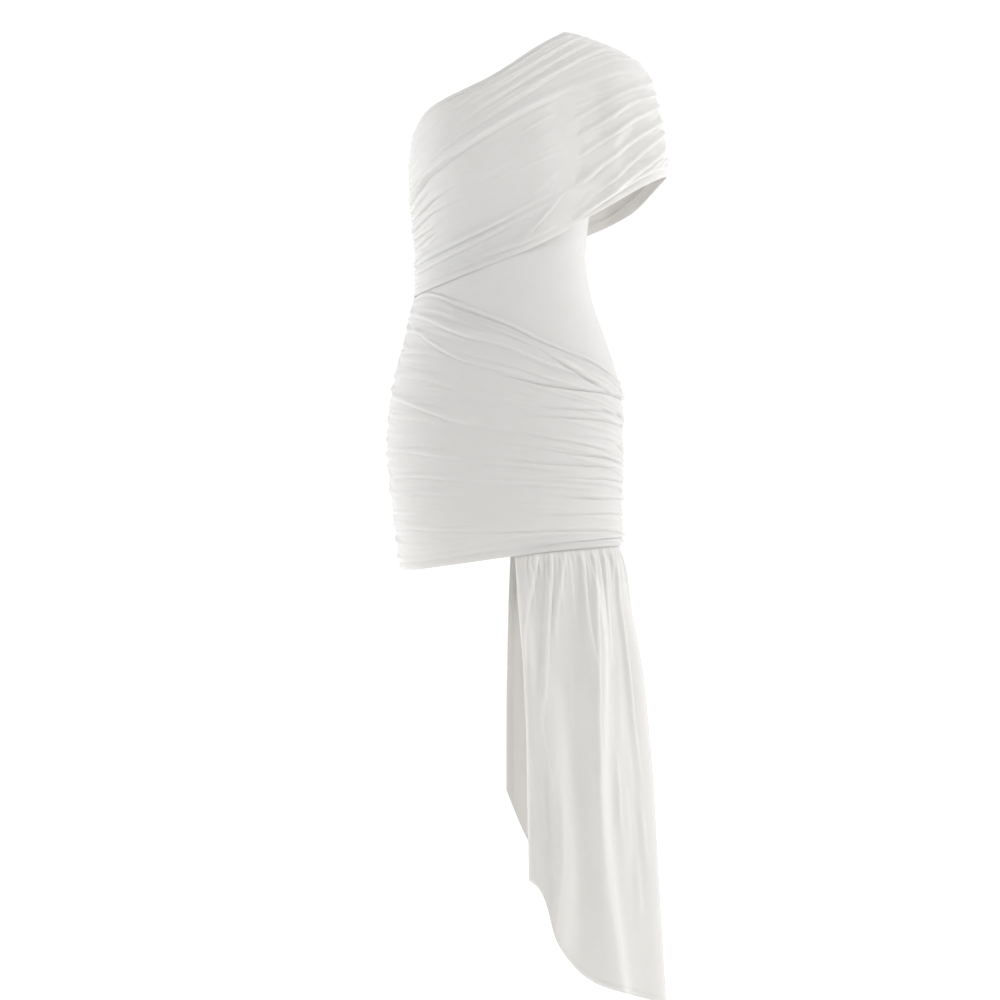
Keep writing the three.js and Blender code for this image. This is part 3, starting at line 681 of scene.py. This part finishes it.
class JerseySettings(bpy.types.PropertyGroup):
    colour: bpy.props.FloatVectorProperty(
        name="Colour",
        description="Colour of the jersey where it lies flat",
        default=(0.7, 0.69, 0.675),
        min=0,
        max=1,
        subtype="COLOR",
    )
    # Painted shade: the knit's valleys are darkened towards this colour, in place of the shade that
    # falls between the wales.
    valley_shade_colour: bpy.props.FloatVectorProperty(
        name="Valley shade colour",
        description="Painted shade between the wales of the knit",
        default=(0.62, 0.605, 0.585),
        min=0,
        max=1,
        subtype="COLOR",
    )
    roughness: bpy.props.FloatProperty(
        name="Roughness",
        description="Roughness of the yarn",
        default=0.82,
        min=0,
        max=1,
        subtype="FACTOR",
    )
    sheen: bpy.props.FloatProperty(
        name="Sheen",
        description="Light that the fine surface fibres catch at a grazing angle",
        default=0.7,
        min=0,
        max=1,
        subtype="FACTOR",
    )
    translucency: bpy.props.FloatProperty(
        name="Translucency",
        description="Share of the light that passes into the thin cloth",
        default=0.9,
        min=0,
        max=1,
        subtype="FACTOR",
    )
    wale: bpy.props.FloatProperty(
        name="Wale",
        description="Width of one column of stitches",
        default=0.0011,
        min=0.0004,
        max=0.01,
        precision=4,
        unit="LENGTH",
    )
    course: bpy.props.FloatProperty(
        name="Course",
        description="Height of one row of stitches",
        default=0.0008,
        min=0.0004,
        max=0.01,
        precision=4,
        unit="LENGTH",
    )


class StudioSettings(bpy.types.PropertyGroup):
    floor_colour: bpy.props.FloatVectorProperty(
        name="Floor colour",
        description="Colour of the floor and the curved backdrop",
        default=(0.93, 0.93, 0.93),
        min=0,
        max=1,
        subtype="COLOR",
    )
    front: bpy.props.FloatProperty(
        name="Lit front",
        description="Brightness of the light that comes from the front",
        default=0.72,
        min=0,
        max=3,
    )
    sides: bpy.props.FloatProperty(
        name="Lit sides",
        description="Brightness of the light that comes from both sides",
        default=1.6,
        min=0,
        max=10,
    )
    behind: bpy.props.FloatProperty(
        name="Behind",
        description="Share of the sides' brightness that comes from straight behind",
        default=0.62,
        min=0,
        max=1,
        subtype="FACTOR",
    )
    ceiling: bpy.props.FloatProperty(
        name="Ceiling",
        description="Share of the brightness all round that comes from straight above",
        default=0.3,
        min=0,
        max=1,
        subtype="FACTOR",
    )
    glow: bpy.props.FloatProperty(
        name="Paper glow",
        description="Light of its own that keeps the studio paper white",
        default=0.5,
        min=0,
        max=2,
    )
    key: bpy.props.FloatProperty(
        name="Key light",
        description="Power of the large soft light in front",
        default=36,
        min=0,
        unit="POWER",
    )
    rim: bpy.props.FloatProperty(
        name="Rim lights",
        description="Power of the two upright lights a little behind the dress",
        default=8,
        min=0,
        unit="POWER",
    )
    distance: bpy.props.FloatProperty(
        name="Camera distance",
        description="From the camera to the plane of the side seams",
        default=3.2,
        min=1,
        unit="LENGTH",
    )


def maths(tree, operation, *values):
    """Adds a Math node, whose values are numbers or other nodes' outputs, and returns its output."""
    node = tree.nodes.new("ShaderNodeMath")
    node.operation = operation
    for socket, value in zip(node.inputs, values):
        if isinstance(value, bpy.types.NodeSocket):
            tree.links.new(value, socket)
        else:
            socket.default_value = value
    return node.outputs[0]


def axes(tree, vector):
    """Adds a Separate XYZ node and returns its three outputs."""
    node = tree.nodes.new("ShaderNodeSeparateXYZ")
    tree.links.new(vector, node.inputs[0])
    return node.outputs


def ramp(tree, value, low, high, start, end, kind="LINEAR"):
    """Adds a Map Range node that takes low to start and high to end, and returns its output."""
    node = tree.nodes.new("ShaderNodeMapRange")
    node.interpolation_type = kind
    for name, number in (("From Min", low), ("From Max", high), ("To Min", start), ("To Max", end)):
        node.inputs[name].default_value = number
    tree.links.new(value, node.inputs["Value"])
    return node.outputs[0]


def noise(tree, vector, stretch, detail):
    """Adds a noise whose grain is finer by stretch on each axis, and returns its output."""
    mapping = tree.nodes.new("ShaderNodeMapping")
    mapping.inputs["Scale"].default_value = stretch
    tree.links.new(vector, mapping.inputs[0])
    texture = tree.nodes.new("ShaderNodeTexNoise")
    texture.inputs["Scale"].default_value = 1
    texture.inputs["Detail"].default_value = detail
    tree.links.new(mapping.outputs[0], texture.inputs["Vector"])
    return texture.outputs[0]


def group_tree(name, inputs, outputs):
    """Makes a shader node group with its sockets and returns it with its input and output nodes."""
    tree = bpy.data.node_groups.new(name, "ShaderNodeTree")
    for socket_name, kind, default in inputs:
        socket = tree.interface.new_socket(socket_name, in_out="INPUT", socket_type=kind)
        if default is not None:
            socket.default_value = default
    for socket_name, kind in outputs:
        tree.interface.new_socket(socket_name, in_out="OUTPUT", socket_type=kind)
    return tree, tree.nodes.new("NodeGroupInput"), tree.nodes.new("NodeGroupOutput")


def knit_group():
    """Stocking stitch on a UV map in metres. With x and y counted in wales and courses, each wale is
    rounded as |sin(pi x)|, and its loops lean to a V as 0.5 + 0.5 cos(2 pi (y + 1.1 |frac x - 0.5|))."""
    name = "jersey knit"
    if name in bpy.data.node_groups:
        return bpy.data.node_groups[name]
    tree, source, result = group_tree(
        name,
        [
            ("UV", "NodeSocketVector", None),
            ("Wale", "NodeSocketFloat", 0.001),
            ("Course", "NodeSocketFloat", 0.001),
        ],
        [("Height", "NodeSocketFloat"), ("Valley", "NodeSocketFloat"), ("Slub", "NodeSocketFloat")],
    )
    uv, wale, course = source.outputs[:3]
    along, down, _ = axes(tree, uv)
    x = maths(tree, "DIVIDE", along, wale)
    y = maths(tree, "DIVIDE", down, course)
    ridge = maths(tree, "ABSOLUTE", maths(tree, "SINE", maths(tree, "MULTIPLY", x, np.pi)))
    from_middle = maths(tree, "ABSOLUTE", maths(tree, "SUBTRACT", maths(tree, "FRACT", x), 0.5))
    turn = maths(tree, "MULTIPLY", maths(tree, "MULTIPLY_ADD", from_middle, 1.1, y), 2 * np.pi)
    loop = maths(tree, "MULTIPLY_ADD", maths(tree, "COSINE", turn), 0.5, 0.5)
    height = maths(tree, "MULTIPLY", ridge, maths(tree, "MULTIPLY_ADD", loop, 0.45, 0.55))
    # Valley: how deep a point lies between the wales. The material darkens the colour by it as painted
    # shade.
    valley = maths(tree, "SUBTRACT", 1, maths(tree, "SMOOTH_MIN", height, 1, 0.1))
    tree.links.new(height, result.inputs["Height"])
    tree.links.new(valley, result.inputs["Valley"])
    tree.links.new(noise(tree, uv, (90, 900, 1), 3), result.inputs["Slub"])
    return tree


# The jersey's relief, in metres: heights of the knit, its slubs and its soft creases, depth of the
# stitches, and the stitches' pitch and the share of it that shows thread.
KNIT_HEIGHT, SLUB_HEIGHT, CREASE_HEIGHT = 0.00016, 0.00025, 0.0007
STITCH_DEPTH, STITCH_PITCH, STITCH_SHARE = 0.0003, 0.0026, 0.78
HEM_STITCHES = (8, 1.6, 0.45)  # mm from the edge, half the gap of the two rows, half a thread


def jersey_material():
    """White stretch jersey: the knit and its slubs lift it, soft creases run along the rows, and two
    rows of stitches hold its hems. Painted shade darkens the knit's valleys and the sunk stitches, and a
    mottle varies its tone. Its bumps are metres high."""
    name = "white stretch jersey"
    if name in bpy.data.materials:
        return bpy.data.materials[name]
    settings = bpy.context.scene.dress_jersey
    material = bpy.data.materials.new(name)
    material.use_nodes = True
    tree = material.node_tree
    tree.nodes.clear()
    output = tree.nodes.new("ShaderNodeOutputMaterial")
    shader = tree.nodes.new("ShaderNodeBsdfPrincipled")
    shader.inputs["Roughness"].default_value = settings.roughness
    shader.inputs["Sheen Weight"].default_value = settings.sheen
    shader.inputs["Sheen Roughness"].default_value = 0.45
    shader.inputs["Sheen Tint"].default_value = (1, 1, 1, 1)
    shader.inputs["Specular IOR Level"].default_value = 0.25
    shader.inputs["Subsurface Weight"].default_value = settings.translucency
    shader.inputs["Subsurface Radius"].default_value = (1, 0.97, 0.92)
    shader.inputs["Subsurface Scale"].default_value = 0.0045
    tree.links.new(shader.outputs[0], output.inputs["Surface"])

    uv = tree.nodes.new("ShaderNodeUVMap")
    uv.uv_map = "cloth"
    knit = tree.nodes.new("ShaderNodeGroup")
    knit.node_tree = knit_group()
    knit.inputs["Wale"].default_value = settings.wale
    knit.inputs["Course"].default_value = settings.course
    tree.links.new(uv.outputs[0], knit.inputs["UV"])

    creases = noise(tree, uv.outputs[0], (14, 95, 1), 2)
    mottle = noise(tree, uv.outputs[0], (22, 30, 1), 4)
    hem = tree.nodes.new("ShaderNodeAttribute")
    hem.attribute_name = "hem"
    middle, half_gap, half_thread = HEM_STITCHES
    row = maths(tree, "ABSOLUTE", maths(tree, "SUBTRACT", hem.outputs["Fac"], middle))
    row = maths(tree, "ABSOLUTE", maths(tree, "SUBTRACT", row, half_gap))
    on_row = maths(tree, "LESS_THAN", row, half_thread)
    pitches = maths(tree, "DIVIDE", axes(tree, uv.outputs[0])[0], STITCH_PITCH)
    on_thread = maths(tree, "LESS_THAN", maths(tree, "FRACT", pitches), STITCH_SHARE)
    stitch = maths(tree, "MULTIPLY", on_row, on_thread)

    knit_lift = maths(tree, "MULTIPLY", knit.outputs["Height"], KNIT_HEIGHT)
    slub_lift = maths(tree, "MULTIPLY", knit.outputs["Slub"], SLUB_HEIGHT)
    crease_lift = maths(tree, "MULTIPLY", creases, CREASE_HEIGHT)
    stitch_lift = maths(tree, "MULTIPLY", stitch, -STITCH_DEPTH)
    yarn_lift = maths(tree, "ADD", knit_lift, slub_lift)
    height = maths(tree, "ADD", yarn_lift, maths(tree, "ADD", crease_lift, stitch_lift))
    bump = tree.nodes.new("ShaderNodeBump")
    bump.inputs["Strength"].default_value = 1
    bump.inputs["Distance"].default_value = 1
    tree.links.new(height, bump.inputs["Height"])
    tree.links.new(bump.outputs[0], shader.inputs["Normal"])

    # Painted shade: the knit's valleys and the sunk stitch rows are darkened where shade falls in them.
    # The mottle is the yarn's own uneven tone.
    darker = maths(tree, "MULTIPLY", knit.outputs["Valley"], 0.55)
    darker = maths(tree, "MULTIPLY_ADD", mottle, 0.3, darker)
    darker = maths(tree, "MULTIPLY_ADD", stitch, 0.3, darker)
    shade_and_mottle = tree.nodes.new("ShaderNodeMix")
    shade_and_mottle.data_type = "RGBA"
    shade_and_mottle.inputs["A"].default_value = (*settings.colour, 1)
    shade_and_mottle.inputs["B"].default_value = (*settings.valley_shade_colour, 1)
    tree.links.new(darker, shade_and_mottle.inputs["Factor"])
    tree.links.new(shade_and_mottle.outputs["Result"], shader.inputs["Base Color"])
    return material


class DRESS_OT_drapes(bpy.types.Operator):
    """Makes the draped front and back, which cross the chest and fall over the left upper arm"""

    bl_idname = "dress.drapes"
    bl_label = "Draped panels"
    bl_options = {"REGISTER", "UNDO"}

    def execute(self, context):
        settings = context.scene.dress_cloth
        u, v = grid(*DRAPE_GRID)
        for (side, end), table in zip(SIDES, (DRAPE_FRONT_FOLDS, DRAPE_BACK_FOLDS)):
            base = drape_surface(side, u, v)
            folds = table + fine_folds(31 + side, 70, (0.12, 0.45), 0.8, 2.8, 0.03)
            creases = folds, all_gathers(DRAPE_GATHERS, 5, 17), CAPE_DIPS
            points, from_hem = ruched_panel(base, side, u, v, *creases, NECK_EDGE, DRAPE_HOLDS, settings)
            piece = cloth_piece(f"cloth_drape_{end}", f"drape_{end}", points, side, from_hem, settings)
        return {"FINISHED"}


class DRESS_OT_waist(bpy.types.Operator):
    """Makes the plain waist, tucked under the drapes above it and the skirt below it"""

    bl_idname = "dress.waist"
    bl_label = "Waist"
    bl_options = {"REGISTER", "UNDO"}

    def execute(self, context):
        settings = context.scene.dress_cloth
        u, v = grid(*WAIST_GRID)
        for side, end in SIDES:
            base = wrap_surface(side, WAIST_EDGES, u, v)
            mm_u, mm_v = spans(base)
            folds = fine_folds(71 + side, 10, (0.2, 0.5), 0.45, 5, 0.04)
            lift = fold_lift(scaled(folds, settings.fold_scale), u, v, mm_u, mm_v)
            held = smooth(np.minimum(u, 1 - u), 0, TUCKED_WIDTH)
            lift = lift * held - mix(TUCKED_DROP, UNDER_DROP, held)
            points = own_side(base + outward(base, side) * lift[..., None], side)
            from_hem = np.minimum(v, 1 - v) * mm_v
            piece = cloth_piece(f"cloth_waist_{end}", f"waist_{end}", points, side, from_hem, settings)
        return {"FINISHED"}


class DRESS_OT_skirt(bpy.types.Operator):
    """Makes the short skirt, ruched along both side seams"""

    bl_idname = "dress.skirt"
    bl_label = "Skirt panels"
    bl_options = {"REGISTER", "UNDO"}

    def execute(self, context):
        settings = context.scene.dress_cloth
        u, v = grid(*SKIRT_GRID)
        for (side, end), table in zip(SIDES, (SKIRT_FRONT_FOLDS, SKIRT_BACK_FOLDS)):
            base = wrap_surface(side, SKIRT_EDGES, u, v)
            folds = table + fine_folds(53 + side, 120, (0.25, 0.8), 0.85, 3, 0.015)
            creases = folds, all_gathers(SKIRT_GATHERS, 7, 23), []
            points, from_hem = ruched_panel(
                base, side, u, v, *creases, SKIRT_TOP_EDGE, SKIRT_HOLDS, settings
            )
            piece = cloth_piece(f"cloth_skirt_{end}", f"skirt_{end}", points, side, from_hem, settings)
        return {"FINISHED"}


class DRESS_OT_tail(bpy.types.Operator):
    """Makes the long tail that is gathered into the left half of the skirt's hem"""

    bl_idname = "dress.tail"
    bl_label = "Side tail"
    bl_options = {"REGISTER", "UNDO"}

    def execute(self, context):
        settings = context.scene.dress_cloth
        w, t = grid(*TAIL_GRID)
        t = t**TAIL_ROW_SPREAD
        base = tail_surface(w, t)
        mm_w, _ = spans(base * [1, 1, 0])  # level, because the rows follow the slant of the hem
        mm_t = read(TAIL_HEM, w).length + TAIL_TUCK
        rng = np.random.default_rng(11)
        folds = list(TAIL_FOLDS)
        for i in range(TAIL_GATHERS):
            place = (i + 0.5 + rng.uniform(-0.3, 0.3)) / TAIL_GATHERS
            reach = rng.uniform(0.05, 0.3)
            drift = rng.uniform(-0.012, 0.012)
            size = (rng.uniform(1, 2.5), rng.uniform(2.4, 4))
            folds.append(Fold(0, place, reach, place + drift, 0, *size, 0.05, 0.3, 0.4))
        for i in range(TAIL_LOW_FOLDS):
            place, top = rng.uniform(0.02, 0.98), rng.uniform(0.1, 0.7)
            length, drift = rng.uniform(0.15, 0.4), rng.uniform(-0.02, 0.02)
            size = (rng.uniform(0.4, 1.4), rng.uniform(5, 12))
            folds.append(Fold(top, place, top + length, place + drift, 0, *size, 0.4, 0.6, 0.1))
        lift = fold_lift(scaled(folds, settings.fold_scale), t, w, mm_t, mm_w)
        # Each row's mean is taken off, so that the folds swing evenly in and out of the ring.
        level = (lift * mm_w).sum(axis=1, keepdims=True) / mm_w.sum(axis=1, keepdims=True)
        freed = smooth(t, 0.015, 0.05)  # the skirt's hem holds the top flat
        lift = (lift - level) * freed
        edge = np.minimum(np.minimum(w, 1 - w) * mm_w, (1 - t) * mm_t)
        lift += turned_edge(edge, *TAIL_EDGE) * freed
        points = base + outward(base, FRONT) * lift[..., None]
        piece = cloth_piece("cloth_side_tail", "side_tail", points, FRONT, edge, settings)
        return {"FINISHED"}


class DRESS_OT_studio(bpy.types.Operator):
    """Makes the pale round floor with its curved wall, the soft lights and the camera"""

    bl_idname = "dress.studio"
    bl_label = "Studio"
    bl_options = {"REGISTER", "UNDO"}

    def execute(self, context):
        settings = context.scene.dress_studio
        scene = context.scene
        scene.view_settings.view_transform = "Standard"
        scene.view_settings.look = "None"

        # A floor turned round the dress: flat out to FLOOR_RADIUS, a quarter circle, and a wall.
        turn = np.linspace(0, np.pi / 2, 17)
        bend = FLOOR_RADIUS + WALL_CURVE * np.sin(turn)
        radii = np.concatenate([[MM], bend, [FLOOR_RADIUS + WALL_CURVE]])
        heights = np.concatenate([[0], WALL_CURVE * (1 - np.cos(turn)), [WALL_HEIGHT]])
        angle = np.linspace(0, 2 * np.pi, 97)[:-1]
        x, y = radii[:, None] * np.cos(angle), radii[:, None] * np.sin(angle)
        z = np.broadcast_to(FLOOR_Z + heights[:, None], x.shape)
        index = np.arange(x.size).reshape(x.shape)
        near, far = index[:-1], index[1:]
        corners = [near, far, np.roll(far, -1, axis=1), np.roll(near, -1, axis=1)]
        mesh = bpy.data.meshes.new("studio_floor")
        vertices = np.stack([x, y, z], axis=-1).reshape(-1, 3)
        mesh.from_pydata(vertices, [], np.stack(corners, axis=-1).reshape(-1, 4))
        mesh.polygons.foreach_set("use_smooth", np.ones(len(mesh.polygons), bool))
        floor = bpy.data.objects.new("studio_floor", mesh)
        scene.collection.objects.link(floor)
        material = bpy.data.materials.new("studio paper")
        material.use_nodes = True
        shader = material.node_tree.nodes["Principled BSDF"]
        shader.inputs["Base Color"].default_value = (*settings.floor_colour, 1)
        shader.inputs["Roughness"].default_value = 0.9
        shader.inputs["Emission Color"].default_value = (1, 1, 1, 1)
        shader.inputs["Emission Strength"].default_value = settings.glow
        mesh.materials.append(material)
        floor.visible_diffuse = False
        floor.visible_shadow = False

        world = bpy.data.worlds.new("studio surround")
        world.use_nodes = True
        tree = world.node_tree
        surround = tree.nodes["Background"]
        surround.inputs["Color"].default_value = (1, 1, 1, 1)
        _, y, z = axes(tree, tree.nodes.new("ShaderNodeTexCoord").outputs["Generated"])
        # Along y the light grows from the front to the sides and dims again behind, and it dims upwards.
        sides = ramp(tree, y, -0.75, 0.05, settings.front, settings.sides, "SMOOTHSTEP")
        behind = ramp(tree, y, 0.2, 0.9, 1, settings.behind, "SMOOTHSTEP")
        above = ramp(tree, z, 0.1, 0.9, 1, settings.ceiling)
        strength = maths(tree, "MULTIPLY", maths(tree, "MULTIPLY", sides, behind), above)
        tree.links.new(strength, surround.inputs["Strength"])
        scene.world = world

        right_rim, lower = RIGHT_RIM_SHARE * settings.rim, (-0.14, 0, -0.7)
        for name, power, size, place, aim in (
            ("key_light", settings.key, (1.3, 1.3), (-1.9, -2.7, 0.7), (-0.1, 0, -0.35)),
            ("fill_light", FILL_SHARE * settings.key, (0.6, 0.8), (1.45, -0.55, 0.25), (0.1, 0, -0.15)),
            ("left_rim_light", settings.rim, (0.5, 2.4), (-2.4, 0.8, -0.6), lower),
            ("right_rim_light", right_rim, (0.5, 2.4), (2.2, 0.8, -0.6), lower),
        ):
            light = bpy.data.lights.new(name, "AREA")
            light.shape = "RECTANGLE"
            light.size, light.size_y = size
            light.energy = power
            lamp = bpy.data.objects.new(name, light)
            lamp.location = place
            lamp.rotation_euler = (Vector(aim) - Vector(place)).to_track_quat("-Z", "Y").to_euler()
            scene.collection.objects.link(lamp)

        camera = bpy.data.objects.new("camera", bpy.data.cameras.new("camera"))
        camera.location = (CAMERA_X, -settings.distance, CAMERA_Z)
        camera.rotation_euler = (np.pi / 2, 0, 0)
        camera.data.sensor_width = SENSOR
        camera.data.lens = SENSOR * settings.distance / VIEW_WIDTH
        scene.collection.objects.link(camera)
        scene.camera = camera
        return {"FINISHED"}


class DRESS_PT_panel(bpy.types.Panel):
    """Lists the sizes and finishes of the dress and the steps that make it"""

    bl_idname = "DRESS_PT_panel"
    bl_label = "One-shoulder dress"
    bl_space_type = "VIEW_3D"
    bl_region_type = "UI"
    bl_category = "Dress"

    def draw(self, context):
        layout = self.layout
        for title, settings in (
            ("Cloth", context.scene.dress_cloth),
            ("Jersey", context.scene.dress_jersey),
            ("Studio", context.scene.dress_studio),
        ):
            box = layout.box()
            box.label(text=title)
            for field in settings.bl_rna.properties:
                if field.identifier not in ("rna_type", "name"):
                    box.prop(settings, field.identifier)
        for step in STEPS:
            layout.operator(step.bl_idname)


GROUPS = {"dress_cloth": ClothSettings, "dress_jersey": JerseySettings, "dress_studio": StudioSettings}
STEPS = [DRESS_OT_drapes, DRESS_OT_waist, DRESS_OT_skirt, DRESS_OT_tail, DRESS_OT_studio]


def register():
    """Registers the settings, the steps and the panel, and hangs the settings on the scene."""
    for cls in (*GROUPS.values(), *STEPS, DRESS_PT_panel):
        bpy.utils.register_class(cls)
    for name, group in GROUPS.items():
        setattr(bpy.types.Scene, name, bpy.props.PointerProperty(type=group))


def unregister():
    """Takes away what register added, in reverse."""
    for name in GROUPS:
        delattr(bpy.types.Scene, name)
    for cls in (DRESS_PT_panel, *reversed(STEPS), *reversed(GROUPS.values())):
        bpy.utils.unregister_class(cls)


def main():
    """Makes the dress and its studio."""
    register()
    bpy.ops.dress.drapes()
    bpy.ops.dress.waist()
    bpy.ops.dress.skirt()
    bpy.ops.dress.tail()
    bpy.ops.dress.studio()
    bpy.context.view_layer.update()


if __name__ == "__main__":
    main()
